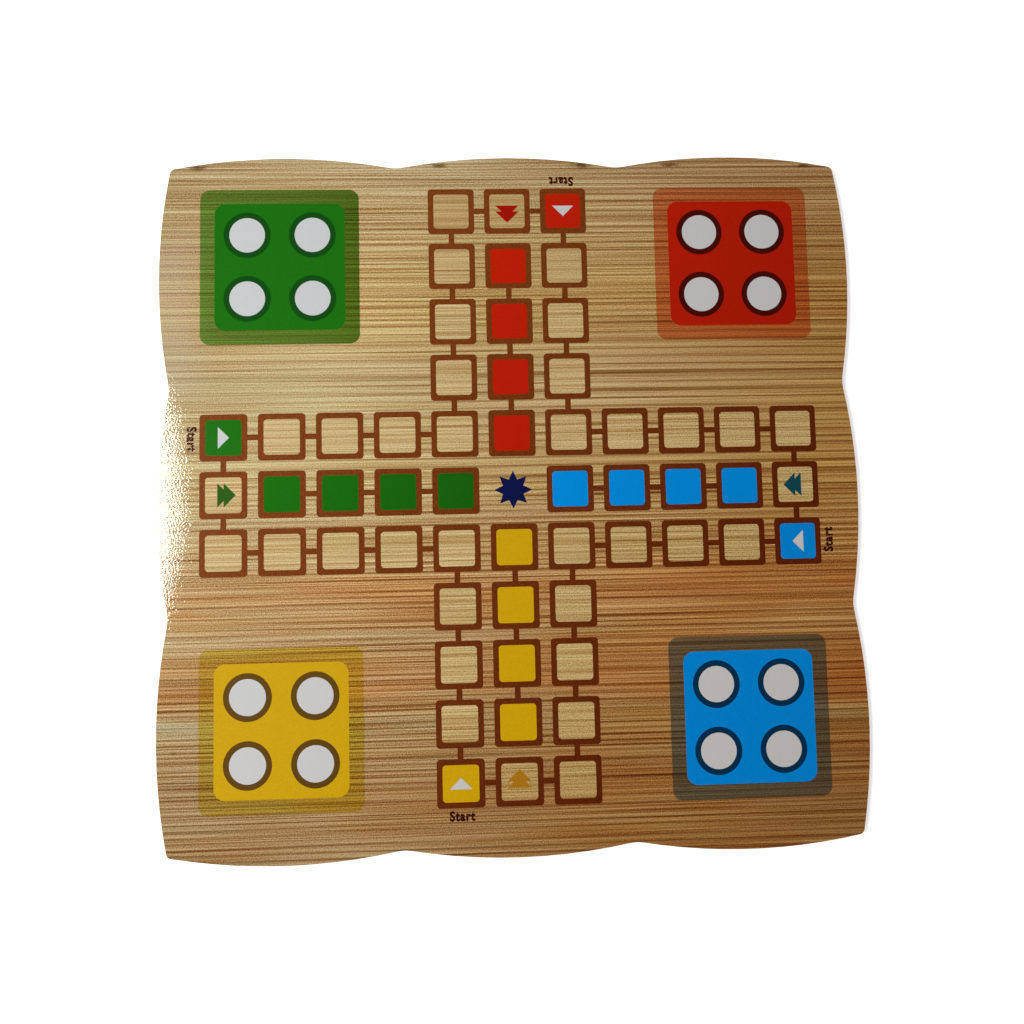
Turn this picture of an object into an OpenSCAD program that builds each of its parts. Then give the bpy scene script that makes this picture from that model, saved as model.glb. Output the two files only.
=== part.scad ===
// Ludo board: a scalloped fibreboard panel with a wood-grain face sheet and the game printed on it.
// The origin is the centre of the underside, +Z is up and the yellow player sits on the -Y side.
// Each printed colour is a thin film of its own, and the films lie side by side on the face sheet.

/* [Panel] */
// Thickness of the fibreboard core
core_t = 2.7; // [2:0.1:6]
// Thickness of the wood-grain face sheet
face_t = 0.15; // [0.1:0.05:0.4]
// Thickness of the plain balancing sheet on the back
back_t = 0.15; // [0.1:0.05:0.4]
// Thickness of the printed films
ink_t = 0.05; // [0.03:0.01:0.1]

/* [Outline] */
// Margin from the track to the straight line under the scallops
margin = 14.8; // [10:0.1:30]
// Number of scallops on each side
scallop_count = 3; // [2:1:5]
// Height of a scallop above the line through its two ends
scallop_rise = 5.5; // [3:0.1:9]
// Radius that rounds the valley between two scallops
valley_r = 20; // [8:1:40]
// Radius of the four corners
corner_r = 3; // [1:0.5:6]

/* [Track] */
// Outer side of one square cell, over its frame
cell = 23.4; // [18:0.1:32]
// Length of the link between two cells
link = 5.2; // [3:0.1:10]
// Width of a link
link_w = 2.8; // [1:0.1:5]
// Number of cells from the centre of the board to the end of an arm
arm_cells = 5; // [4:1:6]
// Width of the frame round a cell
frame_band = 2.8; // [1:0.1:4]
// Outer corner radius of a frame
frame_r = 1.8; // [0.5:0.1:3]
// Corner radius of a pale cell
pale_r = 1.7; // [0.5:0.1:3]
// Corner radius of a coloured cell
coloured_r = 1.7; // [0.5:0.1:3]
// How far the whole print sits above the middle of the panel
print_shift = 4; // [-6:0.5:6]

/* [Marks] */
// Width of the arrow on a start cell
arrow_w = 10.9; // [5:0.1:12]
// Length of the arrow on a start cell
arrow_l = 5.5; // [3:0.1:9]
// Width of the double arrowhead on a home entry cell
entry_w = 12; // [5:0.1:14]
// Length of one head of the double arrowhead
entry_l = 5.9; // [3.5:0.1:7]
// Step from one head to the next
entry_step = 3.1; // [1:0.1:3.4]
// Number of points of the star at the centre
star_points = 8; // [4:1:12]
// Diameter of the star over its points
star_d = 19; // [12:0.5:22]
// Diameter of the star between its points
star_waist_d = 11; // [5:0.5:11]

/* [Player bases] */
// Diameter of the white spot where a pawn waits
spot_d = 17.8; // [12:0.1:26]
// Width of the dark ring round a spot
ring_band = 2.85; // [1:0.05:5]
// Clear distance between neighbouring rings
ring_gap = 9.1; // [4:0.1:20]
// Clear distance from a ring to the edge of the coloured field
field_margin = 4.45; // [2:0.05:10]
// Corner radius of the coloured field
field_r = 5.5; // [2:0.1:10]
// Width of the tinted border round the field
border_band = 7.2; // [3:0.1:15]
// Outer corner radius of the tinted border
border_r = 5; // [2:0.1:10]

/* [Hidden] */
$fn = 96;
scallop_fn = 256;
players = ["green", "red", "blue", "yellow"];
turns = [0:3];

// Colours of the core, the sheets and the common inks
core_colour = "#a07a50";
face_colour = "#c2a06a";
back_colour = "#d8d2c4";
frame_colour = "#70340f";
pale_colour = "#c8b07c";
white_colour = "#e2e2e0";
star_colour = "#0f1a4a";

// Colours of the four players' inks, in the order of players
field_colours = ["#1f7a1a", "#a81606", "#007bcb", "#d0a914"];
border_colours = ["#5a7220", "#a8592c", "#4d4330", "#9a7c1a"];
ring_colours = ["#124d12", "#4d0a05", "#05305c", "#5e4214"];
entry_colours = ["#2a6a12", "#a31405", "#0f4450", "#b98a1e"];

// Levels from the underside up
core_z = back_t;
face_z = core_z + core_t;
ink_z = face_z + face_t;

// Track grid: cell (0, 0) would lie at the centre of the print
pitch = cell + link;
window = cell - 2 * frame_band;
track_half = arm_cells * pitch + cell / 2;

// Player base, built up from the spots outwards
ring_d = spot_d + 2 * ring_band;
spot_pitch = ring_d + ring_gap;
field = spot_pitch + ring_d + 2 * field_margin;
base = field + 2 * border_band;
base_at = track_half - base / 2;

// Panel outline: equal scallops stand on the sides of a square
panel_half = track_half + margin;
scallop_p = 2 * panel_half / scallop_count;
scallop_r = (pow(scallop_p / 2, 2) + pow(scallop_rise, 2)) / (2 * scallop_rise);
scallop_y = panel_half + scallop_rise - scallop_r;

// Valley arc, tangent to the two scallops that it joins
valley_y = scallop_y + sqrt(pow(scallop_r + valley_r, 2) - pow(scallop_p / 2, 2));
touch_share = scallop_r / (scallop_r + valley_r);
touch_y = scallop_y + (valley_y - scallop_y) * touch_share;

// Depth that the valley arc laps into the scallops, so that the arcs cross and leave no sliver
arc_lap = 0.002;

// Corner arc, tangent inside the last scallop of one side and the first of the next
last_scallop = [(scallop_count - 1) / 2 * scallop_p, scallop_y];
corner_sum = last_scallop.x + last_scallop.y;
corner_reach = pow(scallop_r - corner_r, 2) - last_scallop * last_scallop;
corner_at = (corner_sum + sqrt(pow(corner_sum, 2) + 2 * corner_reach)) / 2;
corner_ray = ([corner_at, corner_at] - last_scallop) / (scallop_r - corner_r);
corner_clear = 3 * corner_r;

player_pieces = [
    "run_frames", "run_cells", "start_cell", "start_arrow", "entry_mark",
    "base_border", "base_field", "base_rings", "base_spots"
];

// Square with round corners, centred
module rounded_square(side, r) {
    square([side - 2 * r, side], center = true);
    square([side, side - 2 * r], center = true);
    for (x = [-1, 1], y = [-1, 1])
        translate([x, y] * (side / 2 - r))
            circle(r);
}

// Everything below the scalloped top side of the panel
module below_top_side() {
    translate([-2 * panel_half, -3 * panel_half])
        square([4 * panel_half, 4 * panel_half]);
    for (i = [0:scallop_count - 1])
        translate([(i - (scallop_count - 1) / 2) * scallop_p, scallop_y])
            circle(scallop_r, $fn = scallop_fn);
    for (i = [1:scallop_count - 1])
        translate([(i - scallop_count / 2) * scallop_p, 0])
            valley_fill();
}

// Bar across the foot of a valley, up to the ends of the valley arc that is cut from it
module valley_fill() {
    difference() {
        translate([-scallop_p / 4, panel_half - scallop_rise])
            square([scallop_p / 2, touch_y - panel_half + scallop_rise]);
        translate([0, valley_y])
            circle(valley_r + arc_lap);
    }
}

// Sliver outside the arc of the top right corner
module corner_sliver() {
    difference() {
        translate([corner_at, corner_at])
            polygon([
                [0, 0],
                corner_ray * corner_clear,
                [corner_clear, corner_clear],
                [corner_ray.y, corner_ray.x] * corner_clear
            ]);
        translate([corner_at, corner_at])
            circle(corner_r);
    }
}

module panel_outline() {
    difference() {
        intersection_for (turn = turns)
            rotate(90 * turn)
                below_top_side();
        for (turn = turns)
            rotate(90 * turn)
                corner_sliver();
    }
}

// Film of ink on the face sheet, drawn in the grid of the print
module film() {
    translate([0, print_shift, ink_z])
        linear_extrude(ink_t)
            children();
}

// The player's own quarter of the print: green's is drawn, and the others follow clockwise
module player_film(k) {
    film()
        rotate(-90 * k)
            children();
}

// Moves to cell (x, y) of the track
module at_cell(x, y) {
    translate([x, y] * pitch)
        children();
}

// Repeats over the cells of one arm of the loop, less the start cell
module each_pale_cell() {
    for (x = [1:arm_cells - 1])
        at_cell(-x, 1)
            children();
    for (x = [2:arm_cells])
        at_cell(-x, -1)
            children();
    at_cell(-arm_cells, 0)
        children();
}

// Repeats over the home run of one arm
module each_run_cell() {
    for (x = [1:arm_cells - 1])
        at_cell(-x, 0)
            children();
}

module at_start_cell() {
    at_cell(-arm_cells, 1)
        children();
}

module at_entry_cell() {
    at_cell(-arm_cells, 0)
        children();
}

// Link from a cell to its right-hand neighbour, run on into both frames
module link_bar() {
    translate([cell / 2 - frame_band / 2, -link_w / 2])
        square([link + frame_band, link_w]);
}

module arm_links() {
    for (x = [2:arm_cells], y = [-1, 1])
        at_cell(-x, y)
            link_bar();
    for (y = [-1, 0])
        at_cell(-arm_cells, y)
            rotate(90)
                link_bar();
}

// Arrowhead with its base on the Y axis, pointing along +X
module arrowhead(width, length) {
    polygon([[0, -width / 2], [length, 0], [0, width / 2]]);
}

module start_arrow_shape() {
    at_start_cell()
        translate([-arrow_l / 2, 0])
            arrowhead(arrow_w, arrow_l);
}

module entry_mark_shape() {
    at_entry_cell()
        for (step = [0, entry_step])
            translate([step - entry_l / 2, 0])
                arrowhead(entry_w, entry_l);
}

module at_base() {
    translate([-base_at, base_at])
        children();
}

// Repeats over the four spots of a base
module each_spot() {
    for (x = [-1, 1], y = [-1, 1])
        translate([x, y] * spot_pitch / 2)
            children();
}

module core_board() {
    color(core_colour)
        translate([0, 0, core_z])
            linear_extrude(core_t)
                panel_outline();
}

module face_sheet() {
    color(face_colour)
        translate([0, 0, face_z])
            linear_extrude(face_t)
                panel_outline();
}

module back_sheet() {
    color(back_colour)
        linear_extrude(back_t)
            panel_outline();
}

// One closed chain of frames and links round the whole track
module track_frames() {
    color(frame_colour)
        film()
            difference() {
                for (turn = turns)
                    rotate(90 * turn) {
                        each_pale_cell()
                            rounded_square(cell, frame_r);
                        at_start_cell()
                            rounded_square(cell, frame_r);
                        arm_links();
                    }
                for (turn = turns)
                    rotate(90 * turn) {
                        each_pale_cell()
                            rounded_square(window, pale_r);
                        at_start_cell()
                            rounded_square(window, coloured_r);
                    }
            }
}

// Pale cells of the loop, left open where the entry marks are printed
module track_cells() {
    color(pale_colour)
        film()
            for (turn = turns)
                rotate(90 * turn)
                    difference() {
                        each_pale_cell()
                            rounded_square(window, pale_r);
                        entry_mark_shape();
                    }
}

module centre_star() {
    color(star_colour)
        film()
            polygon([
                for (i = [0:2 * star_points - 1])
                    let (r = (i % 2 == 0 ? star_d : star_waist_d) / 2, a = 180 * i / star_points)
                    r * [sin(a), cos(a)]
            ]);
}

// Frames of the home run, which stand apart from the loop
module run_frames(k) {
    color(frame_colour)
        player_film(k)
            difference() {
                union() {
                    each_run_cell()
                        rounded_square(cell, frame_r);
                    for (x = [2:arm_cells - 1])
                        at_cell(-x, 0)
                            link_bar();
                }
                each_run_cell()
                    rounded_square(window, coloured_r);
            }
}

module run_cells(k) {
    color(field_colours[k])
        player_film(k)
            each_run_cell()
                rounded_square(window, coloured_r);
}

module start_cell(k) {
    color(field_colours[k])
        player_film(k)
            difference() {
                at_start_cell()
                    rounded_square(window, coloured_r);
                start_arrow_shape();
            }
}

module start_arrow(k) {
    color(white_colour)
        player_film(k)
            start_arrow_shape();
}

module entry_mark(k) {
    color(entry_colours[k])
        player_film(k)
            entry_mark_shape();
}

module base_border(k) {
    color(border_colours[k])
        player_film(k)
            at_base()
                difference() {
                    rounded_square(base, border_r);
                    rounded_square(field, field_r);
                }
}

module base_field(k) {
    color(field_colours[k])
        player_film(k)
            at_base()
                difference() {
                    rounded_square(field, field_r);
                    each_spot()
                        circle(d = ring_d);
                }
}

module base_rings(k) {
    color(ring_colours[k])
        player_film(k)
            at_base()
                each_spot()
                    difference() {
                        circle(d = ring_d);
                        circle(d = spot_d);
                    }
}

module base_spots(k) {
    color(white_colour)
        player_film(k)
            at_base()
                each_spot()
                    circle(d = spot_d);
}

core_board();
face_sheet();
back_sheet();
track_frames();
track_cells();
centre_star();
for (k = turns) {
    run_frames(k);
    run_cells(k);
    start_cell(k);
    start_arrow(k);
    entry_mark(k);
    base_border(k);
    base_field(k);
    base_rings(k);
    base_spots(k);
}
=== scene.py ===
"""Looks of a scalloped ludo board: a printed plank under a gloss film, inks, lettering, light and camera."""

import math

import bpy
from mathutils import Euler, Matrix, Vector


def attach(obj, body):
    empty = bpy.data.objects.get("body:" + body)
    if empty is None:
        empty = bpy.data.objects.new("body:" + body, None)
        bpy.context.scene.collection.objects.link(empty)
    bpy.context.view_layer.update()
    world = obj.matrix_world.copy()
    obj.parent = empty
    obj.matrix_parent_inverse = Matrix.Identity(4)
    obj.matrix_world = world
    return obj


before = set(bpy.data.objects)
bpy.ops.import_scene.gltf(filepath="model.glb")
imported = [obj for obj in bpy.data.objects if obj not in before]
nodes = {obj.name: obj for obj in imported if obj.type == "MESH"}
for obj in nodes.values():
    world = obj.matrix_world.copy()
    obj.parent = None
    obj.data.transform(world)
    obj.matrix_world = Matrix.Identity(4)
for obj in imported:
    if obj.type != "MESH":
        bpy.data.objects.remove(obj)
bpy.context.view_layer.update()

MM = 0.001
PLAYERS = ("green", "red", "blue", "yellow")

# Levels and places, in metres, as in the CAD source.
PRINT_TOP = 3.0 * MM          # top of the printed sheet, which the ink films lie on
PRINT_CENTRE_Y = 4.0 * MM     # the print sits a little towards the red side
PITCH = 28.6 * MM             # from one cell to the next


def linear(code):
    """A colour written as sRGB hex, as linear RGBA."""
    channels = [int(code[i:i + 2], 16) / 255 for i in (1, 3, 5)]
    return [c / 12.92 if c <= 0.04045 else ((c + 0.055) / 1.055) ** 2.4 for c in channels] + [1.0]


def add(tree, kind, sockets=None, **settings):
    """Adds one node. A socket takes a plain value, a node's socket, or a node for its first output."""
    node = tree.nodes.new(kind)
    for name, value in settings.items():
        setattr(node, name, value)
    for name, source in (sockets or {}).items():
        if isinstance(source, bpy.types.Node):
            source = next(s for s in source.outputs if s.enabled)
        if isinstance(source, bpy.types.NodeSocket):
            tree.links.new(source, node.inputs[name])
        else:
            node.inputs[name].default_value = source
    return node


def set_stops(ramp_node, stops):
    """Fills a colour ramp with (position, sRGB hex) stops."""
    ramp = ramp_node.color_ramp
    while len(ramp.elements) < len(stops):
        ramp.elements.new(0.5)
    for element, (position, code) in zip(ramp.elements, stops):
        element.position = position
        element.color = linear(code)


def scale_of(along, across):
    """Scale of a pattern from its length along the plank and its width, in the same unit as its points."""
    return (1 / along, 1 / across, 0)


# Shared patterns

# The plank's rings and fibres, in mm. A size in brackets is a length along the plank and a width across it.
RING = 2.9                    # from one growth ring to the next
WIDE_FROM, WIDE_TO = 8, 92    # the band above the middle where the rings are wider
WIDE_LOSS = 9                 # rings fewer in that band, so that they are about 4.2 mm there
UNEVEN, UNEVEN_OVER = 1.3, 8  # rings by which their count strays, and over what width
WANDER, WANDER_OVER = 3.0, (300, 80)      # how far a ring wanders across the plank, at most
FRAY, FRAY_OVER = 0.2, (10, 0.8)          # how far its edge frays along the fibres
DASH = (60, 2.2)              # a dash of the dark line
FIBRE = (110, 0.5)
STREAK = (220, 1)
SPECK = 0.65                  # the paper's own specks are finer: these are drawn coarse enough to show
SOFT_FROM, SOFT_TO = 100, 170             # from the plank's middle: the late wood gets fainter there
CALM_FROM, CALM_TO = 46, 34               # from the middle of the wide band: the fibres get calmer there

# Where a ring darkens, as shares of its width, and how much.
LATE_FROM, LATE_SPREAD = 0.15, 0.35       # where its late wood starts at the earliest, and its spread
LATE_FULL, LATE_FALL = 0.75, 0.8          # where the late wood is full, and where it falls off again
DEPTH, DEPTH_SPREAD = 0.6, 0.4            # how brown it is at least, and its spread
SOFT_LEFT = (0.95, 0.75)      # what is left of it near the plank's middle, and far from it
LINE_FROM = 0.6               # how brown the wood is where its dark line starts
LINE_LEFT = (0.4, 0.8)        # what is left of the line between its dashes, and in them
DASH_NOISE = (0.34, 0.64)     # the noise at which it is between dashes, and in one
STREAK_LEFT = (1.2, 0.75)     # how much late wood there is in dark streaks, and in pale ones
STREAK_NOISE = (0.36, 0.62)   # the noise of a dark streak, and of a pale one
CALM_LEFT = 0.75              # what is left of the fibres in the wide band
FIBRE_GAIN, STREAK_GAIN, SPECK_GAIN = 1.5, 0.6, 1.6       # how much each adds to Fibre


def make_plank_grain():
    """Growth rings of a sawn softwood plank that run from left to right, and its fine fibres.

    Shade is 0 in a ring's pale early wood and rises to its brown late wood.
    Line is a thin dark line in the late wood, broken into dashes. Fibre swings around 0.
    """
    tree = bpy.data.node_groups.new("plank_grain", "ShaderNodeTree")
    tree.interface.new_socket("Shift", in_out="INPUT", socket_type="NodeSocketVector")
    tree.interface.new_socket("Ring", in_out="INPUT", socket_type="NodeSocketFloat").default_value = RING
    for name in ("Shade", "Line", "Fibre"):
        tree.interface.new_socket(name, in_out="OUTPUT", socket_type="NodeSocketFloat")
    given = add(tree, "NodeGroupInput")
    place = add(tree, "ShaderNodeTexCoord")
    mm = add(tree, "ShaderNodeVectorMath",
             {0: place.outputs["Object"], 1: [1 / MM] * 3, 2: given.outputs["Shift"]},
             operation="MULTIPLY_ADD")
    axes = add(tree, "ShaderNodeSeparateXYZ", {0: mm})

    # Everything that runs along the plank is noise, drawn out in that direction.
    noises = []
    for size, detail in ((WANDER_OVER, 2), (FRAY_OVER, 1), (DASH, 3), (FIBRE, 1), (STREAK, 2)):
        at = add(tree, "ShaderNodeVectorMath", {0: mm, 1: scale_of(*size)}, operation="MULTIPLY")
        noises.append(add(tree, "ShaderNodeTexNoise", {"Vector": at, "Scale": 1, "Detail": detail},
                          noise_dimensions="2D"))
    wander, fray, dashes, fine, streak = noises

    # Each ring wanders by about a millimetre along the plank, and its edge frays.
    y = add(tree, "ShaderNodeMath", {0: wander, 1: WANDER, 2: axes.outputs["Y"]}, operation="MULTIPLY_ADD")
    y = add(tree, "ShaderNodeMath", {0: fray, 1: FRAY, 2: y}, operation="MULTIPLY_ADD")

    # The ring count: even rings, fewer in the wide band, and no two of the same width.
    even = add(tree, "ShaderNodeMath", {0: y, 1: given.outputs["Ring"]}, operation="DIVIDE")
    wide = add(tree, "ShaderNodeMapRange",
               {"Value": y, "From Min": WIDE_FROM, "From Max": WIDE_TO, "To Min": 0, "To Max": -WIDE_LOSS})
    years = add(tree, "ShaderNodeTexNoise", {"W": y, "Scale": 1 / UNEVEN_OVER, "Detail": 1},
                noise_dimensions="1D")
    count = add(tree, "ShaderNodeMath", {0: even, 1: wide}, operation="ADD")
    count = add(tree, "ShaderNodeMath", {0: years, 1: UNEVEN, 2: count}, operation="MULTIPLY_ADD")
    ring = add(tree, "ShaderNodeMath", {0: count}, operation="FLOOR")
    into = add(tree, "ShaderNodeMath", {0: count}, operation="FRACT")

    # A ring's own character: how late it darkens, and how dark its wood and its line are.
    chance = add(tree, "ShaderNodeTexWhiteNoise", {"W": ring}, noise_dimensions="1D")
    dice = add(tree, "ShaderNodeSeparateColor", {0: chance.outputs["Color"]})
    late = add(tree, "ShaderNodeMath", {0: dice.outputs["Red"], 1: LATE_SPREAD, 2: LATE_FROM},
               operation="MULTIPLY_ADD")
    rise = add(tree, "ShaderNodeMapRange", {"Value": into, "From Min": late, "From Max": LATE_FULL},
               interpolation_type="SMOOTHSTEP")
    fall = add(tree, "ShaderNodeMapRange",
               {"Value": into, "From Min": LATE_FALL, "From Max": 1, "To Min": 1, "To Max": 0},
               interpolation_type="SMOOTHSTEP")
    brown = add(tree, "ShaderNodeMath", {0: rise, 1: fall}, operation="MULTIPLY")
    depth = add(tree, "ShaderNodeMath", {0: dice.outputs["Green"], 1: DEPTH_SPREAD, 2: DEPTH},
                operation="MULTIPLY_ADD")
    from_middle = add(tree, "ShaderNodeMath", {0: y}, operation="ABSOLUTE")
    soft = add(tree, "ShaderNodeMapRange",
               {"Value": from_middle, "From Min": SOFT_FROM, "From Max": SOFT_TO,
                "To Min": SOFT_LEFT[0], "To Max": SOFT_LEFT[1]})
    depth = add(tree, "ShaderNodeMath", {0: depth, 1: soft}, operation="MULTIPLY")
    shade = add(tree, "ShaderNodeMath", {0: brown, 1: depth}, operation="MULTIPLY")
    thin = add(tree, "ShaderNodeMapRange", {"Value": brown, "From Min": LINE_FROM, "From Max": 1.0})
    line = add(tree, "ShaderNodeMath", {0: thin, 1: dice.outputs["Blue"]}, operation="MULTIPLY")

    # Along the plank the line fades and returns.
    held = add(tree, "ShaderNodeMapRange",
               {"Value": dashes, "From Min": DASH_NOISE[0], "From Max": DASH_NOISE[1],
                "To Min": LINE_LEFT[0], "To Max": LINE_LEFT[1]})
    line = add(tree, "ShaderNodeMath", {0: line, 1: held}, operation="MULTIPLY")

    # Fibres, streaks and the specks of the paper, calmer in the wide band. Noise is 0.5 on average, so half
    # of what they add comes off again.
    speck = add(tree, "ShaderNodeTexNoise", {"Vector": mm, "Scale": 1 / SPECK, "Detail": 2},
                noise_dimensions="2D")
    fibre = -(FIBRE_GAIN + STREAK_GAIN + SPECK_GAIN) / 2
    for noise, gain in ((speck, SPECK_GAIN), (fine, FIBRE_GAIN), (streak, STREAK_GAIN)):
        fibre = add(tree, "ShaderNodeMath", {0: noise, 1: gain, 2: fibre}, operation="MULTIPLY_ADD")
    from_wide = add(tree, "ShaderNodeMath", {0: y, 1: (WIDE_FROM + WIDE_TO) / 2}, operation="SUBTRACT")
    from_wide = add(tree, "ShaderNodeMath", {0: from_wide}, operation="ABSOLUTE")
    calm = add(tree, "ShaderNodeMapRange",
               {"Value": from_wide, "From Min": CALM_TO, "From Max": CALM_FROM, "To Min": CALM_LEFT})
    fibre = add(tree, "ShaderNodeMath", {0: fibre, 1: calm}, operation="MULTIPLY")

    # The late wood is made up of such streaks.
    heavy = add(tree, "ShaderNodeMapRange",
                {"Value": streak, "From Min": STREAK_NOISE[0], "From Max": STREAK_NOISE[1],
                 "To Min": STREAK_LEFT[0], "To Max": STREAK_LEFT[1]})
    shade = add(tree, "ShaderNodeMath", {0: shade, 1: heavy}, operation="MULTIPLY")
    add(tree, "NodeGroupOutput", {"Shade": shade, "Line": line, "Fibre": fibre})
    return tree


# How heavily the sheet is printed goes by a sum of x and y, in metres.
HEAVIER = (1, -0.7, 0)        # how much x and y count in it
WEIGHT_REACH = 5 * PITCH      # the sum where the print is heaviest; it is lightest at minus that
CORNER_FROM, CORNER_TO = 185 * MM, 260 * MM       # the sums between which the blue corner gets darker


def make_print_weight():
    """How heavily the sheet is printed: Weight goes from 0 near the green corner to 1 near the blue one.

    Corner is 0 over most of the board, and rises to 1 in the blue corner itself.
    """
    tree = bpy.data.node_groups.new("print_weight", "ShaderNodeTree")
    for name in ("Weight", "Corner"):
        tree.interface.new_socket(name, in_out="OUTPUT", socket_type="NodeSocketFloat")
    place = add(tree, "ShaderNodeTexCoord")
    slant = add(tree, "ShaderNodeVectorMath", {0: place.outputs["Object"], 1: HEAVIER},
                operation="DOT_PRODUCT")
    weight = add(tree, "ShaderNodeMapRange",
                 {"Value": slant.outputs["Value"], "From Min": -WEIGHT_REACH, "From Max": WEIGHT_REACH})
    corner = add(tree, "ShaderNodeMapRange",
                 {"Value": slant.outputs["Value"], "From Min": CORNER_FROM, "From Max": CORNER_TO})
    add(tree, "NodeGroupOutput", {"Weight": weight, "Corner": corner})
    return tree


# The plank's pale wood from the yellow edge to the red edge, in mm from the board's centre.
PLANK_HALF = 180
PLANK_TONES = (
    (-176, "#bba982"), (-136, "#b79e76"), (-108, "#c0b38c"), (-93, "#c49c6d"), (-66, "#c9b388"),
    (-48, "#c89f6e"), (-28, "#cdb587"), (-20, "#c6aa7a"), (-9, "#cab486"), (6, "#ccb783"),
    (60, "#c8b586"), (96, "#c4a76d"), (176, "#b8a076"),
)
DRIFT, DRIFT_OVER = 16, (140, 40)         # mm: how far they drift across the plank, and a drift's size

# What is left of that wood, and where, in mm.
HEAVY_SHADE = "#e2bc94"       # where the print gets heavier, towards the blue corner
CORNER_SHADE = "#eee2d4"      # in that corner itself
LEFT_EDGE_PAINTED_SHADE = "#ece9e5"        # painted shade at the left edge, to offset the softbox's stronger light there
LEFT_SHADE_FROM, LEFT_SHADE_TO = -85, -165
ORANGE_SHADE = "#fdf1e2"      # in orange stretches, in the half towards the yellow and blue bases
ORANGE_FROM, ORANGE_TO, ORANGE_OVER = -15, -45, (110, 14)
ORANGE_NOISE = (0.4, 0.62)    # the noise where such a stretch starts, and where it is full
LATE_SHADE = "#aa8232"        # in a ring's late wood
LINE_SHADE = "#d3bda2"        # in its dark line
PLANK_FIRM = (0.42, 0.8)      # how firm the rings are where the print is lightest, and at most
PLANK_FIRM_FROM = 0.5         # the print's weight from which they are that firm
PLANK_SWING = (0.75, 1.15, 1.6)           # how much the fibres swing the red, green and blue

# Painted reflection, a pale sheen at the green player's edge: its colour, how far it covers, and its place
# in mm.
PAINTED_SHEEN = "#cac4b8"
PAINTED_SHEEN_COVER = 0.2
PAINTED_SHEEN_FROM, PAINTED_SHEEN_TO = -145, -165         # towards the edge: where it starts and where it is full
PAINTED_SHEEN_MIDDLE, PAINTED_SHEEN_CORE, PAINTED_SHEEN_END = 95, 25, 55      # along the edge: its middle and half lengths

# Small dark marks at the cut edge or close to it: place and half size in mm.
DARK_MARKS = (
    (-156, 170.5, 4.5, 1.3), (-35, 171, 4, 1.1), (39, 171, 5, 1.8), (85, 171, 4, 1.0), (155, 170.5, 4, 1.0),
    (-173, 6.5, 3, 1.5), (-166.5, -120.5, 1.2, 0.8),
)
DARK_MARK_COLOUR = "#a08a70"
DARK_MARK_BLOT = 2.5             # mm, size of the blots at a mark's rim
DARK_MARK_RAGGED = 1.6             # how far these cut into it, in half sizes
DARK_MARK_FROM, DARK_MARK_TO = 0.8, 2.4             # where it starts to fade and where it ends, in half sizes


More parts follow.
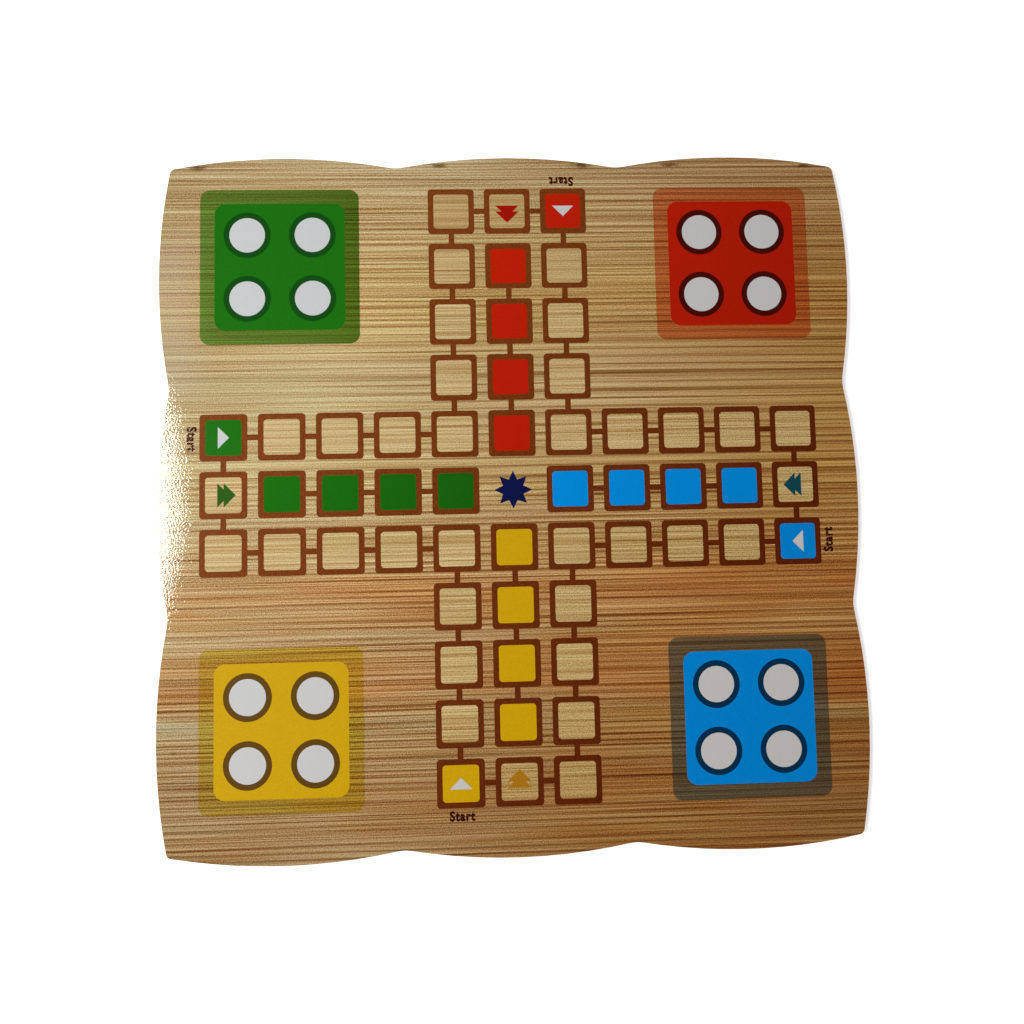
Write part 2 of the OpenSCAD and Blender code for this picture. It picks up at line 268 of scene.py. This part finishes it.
def make_plank_print(grain, weight):
    """The colour of the printed plank, shared by the sheet and by the glazes that let it show through."""
    tree = bpy.data.node_groups.new("plank_print", "ShaderNodeTree")
    tree.interface.new_socket("Colour", in_out="OUTPUT", socket_type="NodeSocketColor")
    wood = add(tree, "ShaderNodeGroup", node_tree=grain)
    heavy = add(tree, "ShaderNodeGroup", node_tree=weight)
    place = add(tree, "ShaderNodeTexCoord")
    mm = add(tree, "ShaderNodeVectorMath", {0: place.outputs["Object"], "Scale": 1 / MM}, operation="SCALE")
    axes = add(tree, "ShaderNodeSeparateXYZ", {0: mm})
    noises = []
    for size, detail in ((DRIFT_OVER, 1), (ORANGE_OVER, 2)):
        at = add(tree, "ShaderNodeVectorMath", {0: mm, 1: scale_of(*size)}, operation="MULTIPLY")
        noises.append(add(tree, "ShaderNodeTexNoise", {"Vector": at, "Scale": 1, "Detail": detail},
                          noise_dimensions="2D"))
    drift, stretch = noises

    # Pale wood, in broad bands across the plank that drift a little along it.
    drifted = add(tree, "ShaderNodeMath", {0: drift, 1: DRIFT, 2: axes.outputs["Y"]},
                  operation="MULTIPLY_ADD")
    tone = add(tree, "ShaderNodeMapRange",
               {"Value": drifted, "From Min": DRIFT / 2 - PLANK_HALF, "From Max": DRIFT / 2 + PLANK_HALF})
    colour = add(tree, "ShaderNodeValToRGB", {0: tone})
    set_stops(colour, [((at + PLANK_HALF) / (2 * PLANK_HALF), code) for at, code in PLANK_TONES])

    # Its heavier side, the painted shade at its left edge and its orange stretches, then its late wood and
    # dark lines, which are fainter where the print is light.
    # Painted shade: the wood gets darker towards the left edge, to offset the softbox's stronger light
    # there.
    left_shade = add(tree, "ShaderNodeMapRange",
               {"Value": axes.outputs["X"], "From Min": LEFT_SHADE_FROM, "From Max": LEFT_SHADE_TO})
    low = add(tree, "ShaderNodeMapRange",
              {"Value": axes.outputs["Y"], "From Min": ORANGE_FROM, "From Max": ORANGE_TO})
    orange = add(tree, "ShaderNodeMapRange",
                 {"Value": stretch, "From Min": ORANGE_NOISE[0], "From Max": ORANGE_NOISE[1], "To Max": low},
                 interpolation_type="SMOOTHSTEP")
    firm = add(tree, "ShaderNodeMapRange",
               {"Value": heavy, "From Max": PLANK_FIRM_FROM,
                "To Min": PLANK_FIRM[0], "To Max": PLANK_FIRM[1]})
    shade, line = [add(tree, "ShaderNodeMath", {0: wood.outputs[name], 1: firm}, operation="MULTIPLY")
                   for name in ("Shade", "Line")]
    for share, code in ((heavy, HEAVY_SHADE), (heavy.outputs["Corner"], CORNER_SHADE), (left_shade, LEFT_EDGE_PAINTED_SHADE),
                        (orange, ORANGE_SHADE), (shade, LATE_SHADE), (line, LINE_SHADE)):
        colour = add(tree, "ShaderNodeMix", {0: share, 6: colour, 7: linear(code)},
                     data_type="RGBA", blend_type="MULTIPLY")

    # Fibres and specks.
    swing = add(tree, "ShaderNodeVectorMath", {0: wood.outputs["Fibre"], 1: PLANK_SWING, 2: (1, 1, 1)},
                operation="MULTIPLY_ADD")
    colour = add(tree, "ShaderNodeVectorMath", {0: colour, 1: swing}, operation="MULTIPLY")

    # The painted reflection: a pale sheen of light at the green player's edge.
    cover = add(tree, "ShaderNodeMapRange",
                {"Value": axes.outputs["X"], "From Min": PAINTED_SHEEN_FROM, "From Max": PAINTED_SHEEN_TO,
                 "To Max": PAINTED_SHEEN_COVER})
    beside = add(tree, "ShaderNodeMath", {0: axes.outputs["Y"], 1: PAINTED_SHEEN_MIDDLE}, operation="SUBTRACT")
    beside = add(tree, "ShaderNodeMath", {0: beside}, operation="ABSOLUTE")
    sheen_share = add(tree, "ShaderNodeMapRange",
                {"Value": beside, "From Min": PAINTED_SHEEN_CORE, "From Max": PAINTED_SHEEN_END,
                 "To Min": cover, "To Max": 0}, interpolation_type="SMOOTHSTEP")
    colour = add(tree, "ShaderNodeMix", {0: sheen_share, 6: colour, 7: linear(PAINTED_SHEEN)}, data_type="RGBA")

    # Dark marks at the cut edge.
    rag_noise = add(tree, "ShaderNodeTexNoise", {"Vector": mm, "Scale": 1 / DARK_MARK_BLOT, "Detail": 2},
                 noise_dimensions="2D")
    dark_marks = 0.0
    for x, y, half_x, half_y in DARK_MARKS:
        off = add(tree, "ShaderNodeVectorMath", {0: mm, 1: (x, y, PRINT_TOP / MM)}, operation="SUBTRACT")
        off = add(tree, "ShaderNodeVectorMath", {0: off, 1: scale_of(half_x, half_y)}, operation="MULTIPLY")
        far = add(tree, "ShaderNodeVectorMath", {0: off}, operation="LENGTH")
        far = add(tree, "ShaderNodeMath", {0: rag_noise, 1: DARK_MARK_RAGGED, 2: far}, operation="MULTIPLY_ADD")
        dark_mark = add(tree, "ShaderNodeMapRange",
                   {"Value": far, "From Min": DARK_MARK_FROM, "From Max": DARK_MARK_TO, "To Min": 1, "To Max": 0},
                   interpolation_type="SMOOTHSTEP")
        dark_marks = add(tree, "ShaderNodeMath", {0: dark_marks, 1: dark_mark}, operation="MAXIMUM")
    colour = add(tree, "ShaderNodeMix", {0: dark_marks, 6: colour, 7: linear(DARK_MARK_COLOUR)},
                 data_type="RGBA", blend_type="MULTIPLY")
    add(tree, "NodeGroupOutput", {"Colour": colour})
    return tree


PEEL = 1.0 * MM               # from one swell of the film to the next, drawn coarse enough to show
PEEL_RISE = 0.017 * MM        # how far a swell stands up


def make_film_ripple():
    """Clear gloss film rolled over the print: fine swells that break a reflection's edge into grains."""
    tree = bpy.data.node_groups.new("film_ripple", "ShaderNodeTree")
    tree.interface.new_socket("Normal", in_out="OUTPUT", socket_type="NodeSocketVector")
    place = add(tree, "ShaderNodeTexCoord")
    peel_at = add(tree, "ShaderNodeVectorMath", {0: place.outputs["Object"], 1: scale_of(PEEL, PEEL)},
                  operation="MULTIPLY")
    peel = add(tree, "ShaderNodeTexNoise", {"Vector": peel_at, "Scale": 1, "Detail": 0},
               noise_dimensions="2D")
    bump = add(tree, "ShaderNodeBump", {"Strength": 1.0, "Distance": PEEL_RISE, "Height": peel})
    add(tree, "NodeGroupOutput", {"Normal": bump})
    return tree


plank_grain = make_plank_grain()
print_weight = make_print_weight()
plank_print = make_plank_print(plank_grain, print_weight)
film_ripple = make_film_ripple()


# Materials

FILM_ROUGHNESS = 0.035
FILM_IOR = 1.5
HAZE = 0.03                   # share of the film that scatters wide, as a faint haze around a reflection
HAZE_ROUGHNESS = 0.35


def filmed(name):
    """A print under the clear gloss film: returns the material, its tree and its shader."""
    material = bpy.data.materials.new(name)
    material.use_nodes = True
    tree = material.node_tree
    shader = tree.nodes["Principled BSDF"]
    ripple = add(tree, "ShaderNodeGroup", node_tree=film_ripple)
    tree.links.new(ripple.outputs["Normal"], shader.inputs["Normal"])
    shader.inputs["Roughness"].default_value = FILM_ROUGHNESS
    shader.inputs["IOR"].default_value = FILM_IOR
    shader.inputs["Coat Weight"].default_value = HAZE
    shader.inputs["Coat Roughness"].default_value = HAZE_ROUGHNESS
    return material, tree, shader


def make_wood_print():
    """Decor paper with a softwood plank printed on it: warm rings with no relief of their own."""
    material, tree, shader = filmed("decor_paper_wood_print")
    plank = add(tree, "ShaderNodeGroup", node_tree=plank_print)
    tree.links.new(plank.outputs["Colour"], shader.inputs["Base Color"])
    return material


CELL_WOOD = "#c6ad7c"
CELL_RING = 4.6               # mm from one ring to the next
CELL_SHIFT = (420, -250, 0)   # mm, so that the cells show another stretch of the grain than the plank
CELL_FIRM = (0.65, 1.12)      # how firm rings and fibres are where the print is light, and where it is heavy
CELL_SWING = (0.7, 0.95, 1.35)            # how much the fibres swing the red, green and blue

# What is left of the cells' wood.
CELL_LATE_SHADE = "#eadfce"   # in a ring's late wood
CELL_LINE_SHADE = "#e0d3bd"   # in its dark line
CELL_HEAVY_SHADE = "#f8efdc"  # where the print gets heavier
CELL_END_PAINTED_SHADE = "#f1e8db"    # painted shade towards the red and the yellow edge, where the light falls off
CELL_END_FROM, CELL_END_TO = 90 * MM, 145 * MM


def make_pale_wood_print():
    """The cells' lighter wood print: soft, far apart rings on a creamy tan."""
    material, tree, shader = filmed("pale_wood_print")
    wood = add(tree, "ShaderNodeGroup", {"Shift": CELL_SHIFT, "Ring": CELL_RING}, node_tree=plank_grain)
    heavy = add(tree, "ShaderNodeGroup", node_tree=print_weight)
    place = add(tree, "ShaderNodeTexCoord")
    axes = add(tree, "ShaderNodeSeparateXYZ", {0: place.outputs["Object"]})
    # Painted shade: the cells get darker towards the red and the yellow edge, for the light falling off
    # there.
    away = add(tree, "ShaderNodeMath", {0: axes.outputs["Y"]}, operation="ABSOLUTE")
    end_shade = add(tree, "ShaderNodeMapRange",
              {"Value": away, "From Min": CELL_END_FROM, "From Max": CELL_END_TO})
    firm = add(tree, "ShaderNodeMapRange", {"Value": heavy, "To Min": CELL_FIRM[0], "To Max": CELL_FIRM[1]})
    shade, line, fibre = [add(tree, "ShaderNodeMath", {0: wood.outputs[name], 1: firm}, operation="MULTIPLY")
                          for name in ("Shade", "Line", "Fibre")]
    colour = linear(CELL_WOOD)
    for share, code in ((shade, CELL_LATE_SHADE), (line, CELL_LINE_SHADE),
                        (heavy, CELL_HEAVY_SHADE), (end_shade, CELL_END_PAINTED_SHADE)):
        colour = add(tree, "ShaderNodeMix", {0: share, 6: colour, 7: linear(code)},
                     data_type="RGBA", blend_type="MULTIPLY")
    swing = add(tree, "ShaderNodeVectorMath", {0: fibre, 1: CELL_SWING, 2: (1, 1, 1)},
                operation="MULTIPLY_ADD")
    fibrous = add(tree, "ShaderNodeVectorMath", {0: colour, 1: swing}, operation="MULTIPLY")
    tree.links.new(fibrous.outputs["Vector"], shader.inputs["Base Color"])
    return material


INK_GRIT = 1.1 * MM           # size of the mottle: the paper's is finer, this is drawn coarse enough to show


def make_ink(name, light, heavy, mottle=0.14):
    """Opaque screen ink: its colour where the print is light and where it is heavy, and a faint mottle."""
    material, tree, shader = filmed(name)
    place = add(tree, "ShaderNodeTexCoord")
    weight = add(tree, "ShaderNodeGroup", node_tree=print_weight)
    ink = add(tree, "ShaderNodeMix", {0: weight, 6: linear(light), 7: linear(heavy)}, data_type="RGBA")
    grit = add(tree, "ShaderNodeTexNoise",
               {"Vector": place.outputs["Object"], "Scale": 1 / INK_GRIT, "Detail": 2, "Roughness": 0.7})
    gain = add(tree, "ShaderNodeMapRange", {"Value": grit, "To Min": 1 - mottle, "To Max": 1 + mottle})
    colour = add(tree, "ShaderNodeVectorMath", {0: ink, "Scale": gain}, operation="SCALE")
    tree.links.new(colour.outputs["Vector"], shader.inputs["Base Color"])
    return material


BASE_OUTER, BASE_INNER = 155 * MM, 75 * MM        # a base's two sides, from the middle of the board
GLAZE_BODY = "#b08a58"        # what the glaze covers the rings with


def make_glaze(name, outer, inner, cover):
    """See-through ink: it tints the plank, and covers a share of what shows of the rings.

    The tint goes from the base's outer side to the side that faces the middle of the board.
    """
    material, tree, shader = filmed(name)
    plank = add(tree, "ShaderNodeGroup", node_tree=plank_print)
    veiled = add(tree, "ShaderNodeMix", {0: cover, 6: plank, 7: linear(GLAZE_BODY)}, data_type="RGBA")
    place = add(tree, "ShaderNodeTexCoord")
    axes = add(tree, "ShaderNodeSeparateXYZ", {0: place.outputs["Object"]})
    far = add(tree, "ShaderNodeMath", {0: axes.outputs["X"]}, operation="ABSOLUTE")
    inwards = add(tree, "ShaderNodeMapRange", {"Value": far, "From Min": BASE_OUTER, "From Max": BASE_INNER})
    tint = add(tree, "ShaderNodeMix", {0: inwards, 6: linear(outer), 7: linear(inner)}, data_type="RGBA")
    tinted = add(tree, "ShaderNodeMix", {0: 1.0, 6: veiled, 7: tint},
                 data_type="RGBA", blend_type="MULTIPLY")
    tree.links.new(tinted.outputs[2], shader.inputs["Base Color"])
    return material


FELT_SCALE = (600, 600, 3500)     # per metre: felted fibres about 1.7 mm long, in layers of about 0.3 mm
FELT_RISE = 0.05 * MM         # how far the cut fibres stand up


def make_fibreboard():
    """Dense fibreboard, cut across: brown felted fibres in flat layers, and no shine."""
    material = bpy.data.materials.new("fibreboard")
    material.use_nodes = True
    tree = material.node_tree
    shader = tree.nodes["Principled BSDF"]
    place = add(tree, "ShaderNodeTexCoord")
    layers_at = add(tree, "ShaderNodeVectorMath", {0: place.outputs["Object"], 1: FELT_SCALE},
                    operation="MULTIPLY")
    layers = add(tree, "ShaderNodeTexNoise",
                 {"Vector": layers_at, "Scale": 1, "Detail": 4, "Roughness": 0.65})
    colour = add(tree, "ShaderNodeValToRGB", {0: layers})
    set_stops(colour, [(0.3, "#7d5a36"), (0.7, "#b58c5c")])
    bump = add(tree, "ShaderNodeBump", {"Strength": 0.6, "Distance": FELT_RISE, "Height": layers})
    tree.links.new(colour.outputs["Color"], shader.inputs["Base Color"])
    tree.links.new(bump.outputs["Normal"], shader.inputs["Normal"])
    shader.inputs["Roughness"].default_value = 0.85
    return material


PULP = 1.5 * MM               # size of a fleck
PULP_RISE = 0.02 * MM         # how far it stands up


def make_liner():
    """Uncoated liner paper: matt, off-white, with flecks of fibre."""
    material = bpy.data.materials.new("liner_paper")
    material.use_nodes = True
    tree = material.node_tree
    shader = tree.nodes["Principled BSDF"]
    place = add(tree, "ShaderNodeTexCoord")
    pulp = add(tree, "ShaderNodeTexNoise",
               {"Vector": place.outputs["Object"], "Scale": 1 / PULP, "Detail": 5, "Roughness": 0.7})
    colour = add(tree, "ShaderNodeValToRGB", {0: pulp})
    set_stops(colour, [(0.3, "#cdc5b6"), (0.7, "#ddd6c9")])
    bump = add(tree, "ShaderNodeBump", {"Strength": 0.4, "Distance": PULP_RISE, "Height": pulp})
    tree.links.new(colour.outputs["Color"], shader.inputs["Base Color"])
    tree.links.new(bump.outputs["Normal"], shader.inputs["Normal"])
    shader.inputs["Roughness"].default_value = 0.9
    return material


def dress(material, *names):
    """Gives CAD nodes their finish."""
    for name in names:
        slots = nodes[name].data.materials
        slots.clear()
        slots.append(material)


# Each ink where the print is light, near the green corner, and where it is heavy, near the blue one.
PLAYER_INK = {
    "green": ("#1c6c10", "#084702"), "red": ("#c12007", "#a31604"),
    "blue": ("#0194e7", "#0183d1"), "yellow": ("#c89e1a", "#cca100"),
}
PLAYER_RING = {
    "green": ("#114a11", "#0d3a0c"), "red": ("#4c0a05", "#420a04"),
    "blue": ("#033455", "#032f4e"), "yellow": ("#664819", "#523a10"),
}
PLAYER_MARK = {
    "green": ("#295a11", "#1d480c"), "red": ("#a31405", "#8c1004"),
    "blue": ("#11494f", "#0f4450"), "yellow": ("#b27b19", "#a77214"),
}
# Each glaze at the base's outer and inner side, and the share of the rings that it covers.
PLAYER_GLAZE = {
    "green": ("#8acb7b", "#699d45", 0.1), "red": ("#f3a688", "#f3a68a", 0.05),
    "blue": ("#93aed8", "#93aed6", 0.1), "yellow": ("#efeb8e", "#efeb7e", 0.0),
}

brown_ink = make_ink("brown_ink", "#7a3d15", "#5a2004", mottle=0.6)
# The white ink turns a little warmer towards the blue corner: painted light, for the warmer light on that
# side.
white_ink = make_ink("white_ink", "#c5c6c7", "#c8c4c0", mottle=0.05)
dress(make_fibreboard(), "core_board")
dress(make_wood_print(), "face_sheet")
dress(make_liner(), "back_sheet")
dress(brown_ink, "track_frames", *[player + "_run_frames" for player in PLAYERS])
dress(make_pale_wood_print(), "track_cells")
dress(make_ink("navy_ink", "#0d1548", "#0b1242"), "centre_star")
for player in PLAYERS:
    ink = make_ink(player + "_ink", *PLAYER_INK[player])
    dress(ink, player + "_run_cells", player + "_start_cell", player + "_base_field")
    dress(white_ink, player + "_start_arrow", player + "_base_spots")
    dress(make_ink(player + "_mark_ink", *PLAYER_MARK[player]), player + "_entry_mark")
    dress(make_glaze(player + "_glaze", *PLAYER_GLAZE[player]), player + "_base_border")
    dress(make_ink(player + "_ring_ink", *PLAYER_RING[player]), player + "_base_rings")


# Lettering

WORD_HEIGHT = 6.3 * MM        # type size; its capitals are about 4.4 mm high
WORD_STROKE = 0.044           # how much the strokes are thickened, as a share of the type size
WORD_SPACING = 1.15           # letters stand further apart than usual
WORD_WIDTH = 0.86             # and are narrower
WORD_FILM = 0.03 * MM         # thickness of the printed film
WORD_X = -PITCH + 0.5 * MM    # middle of yellow's word, from the centre of the print
WORD_Y = -5.55 * PITCH


def make_word_ring(material):
    """Geometry nodes that repeat one word at each of the four sides of the print."""
    tree = bpy.data.node_groups.new("word_ring", "GeometryNodeTree")
    tree.interface.new_socket("Geometry", in_out="INPUT", socket_type="NodeSocketGeometry")
    sides = tree.interface.new_socket("Sides", in_out="INPUT", socket_type="NodeSocketInt")
    centre = tree.interface.new_socket("Centre", in_out="INPUT", socket_type="NodeSocketVector")
    tree.interface.new_socket("Geometry", in_out="OUTPUT", socket_type="NodeSocketGeometry")
    given = add(tree, "NodeGroupInput")
    points = add(tree, "GeometryNodeMeshLine",
                 {"Count": given.outputs["Sides"], "Start Location": given.outputs["Centre"],
                  "Offset": (0, 0, 0)})
    index = add(tree, "GeometryNodeInputIndex")
    turn = add(tree, "ShaderNodeMath", {0: index, 1: given.outputs["Sides"]}, operation="DIVIDE")
    turn = add(tree, "ShaderNodeMath", {0: turn, 1: -2 * math.pi}, operation="MULTIPLY")
    spin = add(tree, "ShaderNodeCombineXYZ", {"Z": turn})
    words = add(tree, "GeometryNodeInstanceOnPoints",
                {"Points": points, "Instance": given.outputs["Geometry"], "Rotation": spin})
    real = add(tree, "GeometryNodeRealizeInstances", {"Geometry": words})
    inked = add(tree, "GeometryNodeSetMaterial", {"Geometry": real, "Material": material})
    add(tree, "NodeGroupOutput", {"Geometry": inked})
    return tree, sides.identifier, centre.identifier


def make_start_words():
    """The word at each start cell, in plain type, read from that player's side."""
    type_data = bpy.data.curves.new("start_type", "FONT")
    type_data.body = "Start"
    type_data.size = WORD_HEIGHT
    type_data.offset = WORD_STROKE * WORD_HEIGHT
    type_data.space_character = WORD_SPACING
    type_data.extrude = WORD_FILM / 2
    type_data.align_x = "CENTER"
    type_data.align_y = "CENTER"
    typed = bpy.data.objects.new("start_type", type_data)
    bpy.context.scene.collection.objects.link(typed)
    word = bpy.data.objects.new("start_word", bpy.data.meshes.new_from_object(typed))
    bpy.context.scene.collection.objects.link(word)
    reach = [vertex.co.x for vertex in word.data.vertices]
    middle = (min(reach) + max(reach)) / 2
    for vertex in word.data.vertices:
        vertex.co.x = (vertex.co.x - middle) * WORD_WIDTH + WORD_X
        vertex.co.y += WORD_Y

    tree, sides, centre = make_word_ring(make_ink("lettering_ink", "#3f1006", "#340b04"))
    ring = word.modifiers.new("word_ring", "NODES")
    ring.node_group = tree
    ring[sides] = len(PLAYERS)
    ring[centre] = (0, PRINT_CENTRE_Y, PRINT_TOP + WORD_FILM / 2)
    evaluated = word.evaluated_get(bpy.context.evaluated_depsgraph_get())
    words = bpy.data.objects.new("start_words", bpy.data.meshes.new_from_object(evaluated))
    bpy.context.scene.collection.objects.link(words)
    bpy.data.objects.remove(word)
    bpy.data.objects.remove(typed)
    return words


start_words = make_start_words()
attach(start_words, "root")


# Stage, light and camera, with lengths in metres

FLOOR_Z = -0.1 * MM           # just under the board
FLOOR_HALF = 30               # from the board to the end of the floor
FLOOR_LIFT = 0.5              # how much lighter than lit the floor is seen beside the board
FLOOR_FAR_LIFT = 0.75         # and far from it
FLOOR_NEAR, FLOOR_FAR = 0.6, 3.0

DIM_FROM, DIM_TO = 0.38, 0.80     # heights in the sky, as a sine, between which the room gets dim
OVERHEAD = 0.02               # how bright it is above that

SOFTBOX_SIZE = (0.55, 0.24)
SOFTBOX_WATTS = 6.8
SOFTBOX_AT = (-0.595, 0.040, 0.70)
SOFTBOX_AIM = (0.05, 0, 0)

SENSOR_WIDTH = 36             # mm
LENS = 24.61                  # mm
CAMERA_AT = (-0.01252, -0.02709, 0.35141)
CAMERA_TURN = (3.321, -1.845, -1.277)     # degrees, from looking straight down


def make_floor():
    """A wide pale floor just under the board, seen lighter than it is lit, and white far away."""
    material = bpy.data.materials.new("floor_paint")
    material.use_nodes = True
    tree = material.node_tree
    shader = tree.nodes["Principled BSDF"]
    shader.inputs["Base Color"].default_value = linear("#f2f2f2")
    shader.inputs["Roughness"].default_value = 1.0
    shader.inputs["Specular IOR Level"].default_value = 0.0
    rays = add(tree, "ShaderNodeLightPath")
    seen = rays.outputs["Is Camera Ray"]
    for kind in ("Is Glossy Ray", "Is Transmission Ray"):
        seen = add(tree, "ShaderNodeMath", {0: seen, 1: rays.outputs[kind]}, operation="MAXIMUM")
    place = add(tree, "ShaderNodeTexCoord")
    far = add(tree, "ShaderNodeVectorMath", {0: place.outputs["Object"]}, operation="LENGTH")
    glow = add(tree, "ShaderNodeMapRange",
               {"Value": far, "From Min": FLOOR_NEAR, "From Max": FLOOR_FAR,
                "To Min": FLOOR_LIFT, "To Max": FLOOR_FAR_LIFT}, interpolation_type="SMOOTHSTEP")
    lift = add(tree, "ShaderNodeMath", {0: seen, 1: glow}, operation="MULTIPLY")
    shader.inputs["Emission Color"].default_value = linear("#ffffff")
    tree.links.new(lift.outputs[0], shader.inputs["Emission Strength"])
    mesh = bpy.data.meshes.new("floor")
    corners = [(x * FLOOR_HALF, y * FLOOR_HALF, FLOOR_Z) for x, y in ((-1, -1), (1, -1), (1, 1), (-1, 1))]
    mesh.from_pydata(corners, [], [(0, 1, 2, 3)])
    mesh.materials.append(material)
    floor = bpy.data.objects.new("floor", mesh)
    bpy.context.scene.collection.objects.link(floor)


def make_world():
    """A room that is white around the horizon and dim overhead: from above the film shows little of it."""
    world = bpy.data.worlds.new("studio")
    bpy.context.scene.world = world
    world.use_nodes = True
    tree = world.node_tree
    sky = tree.nodes["Background"]
    place = add(tree, "ShaderNodeTexCoord")
    height = add(tree, "ShaderNodeSeparateXYZ", {0: place.outputs["Generated"]})
    shade = add(tree, "ShaderNodeMapRange",
                {"Value": height.outputs["Z"], "From Min": DIM_FROM, "From Max": DIM_TO,
                 "To Min": 1.0, "To Max": OVERHEAD}, interpolation_type="SMOOTHSTEP")
    tree.links.new(shade.outputs[0], sky.inputs["Strength"])
    sky.inputs["Color"].default_value = linear("#ffffff")


def make_softbox():
    """A softbox at the green and yellow side: it lights that side more and leaves a sheen along its edge."""
    light = bpy.data.lights.new("softbox", "AREA")
    light.shape = "ELLIPSE"
    light.size, light.size_y = SOFTBOX_SIZE
    light.energy = SOFTBOX_WATTS
    softbox = bpy.data.objects.new("softbox", light)
    bpy.context.scene.collection.objects.link(softbox)
    softbox.location = SOFTBOX_AT
    aim = Vector(SOFTBOX_AIM) - softbox.location
    softbox.rotation_euler = aim.to_track_quat("-Z", "Y").to_euler()


def make_camera():
    """A hand-held camera over the middle of the board, almost square to it."""
    data = bpy.data.cameras.new("camera")
    data.sensor_fit = "HORIZONTAL"
    data.sensor_width = SENSOR_WIDTH
    data.lens = LENS
    data.clip_start = 0.01
    camera = bpy.data.objects.new("camera", data)
    bpy.context.scene.collection.objects.link(camera)
    camera.location = CAMERA_AT
    camera.rotation_euler = Euler([math.radians(angle) for angle in CAMERA_TURN])
    bpy.context.scene.camera = camera


make_floor()
make_world()
make_softbox()
make_camera()
bpy.context.scene.view_settings.view_transform = "Standard"
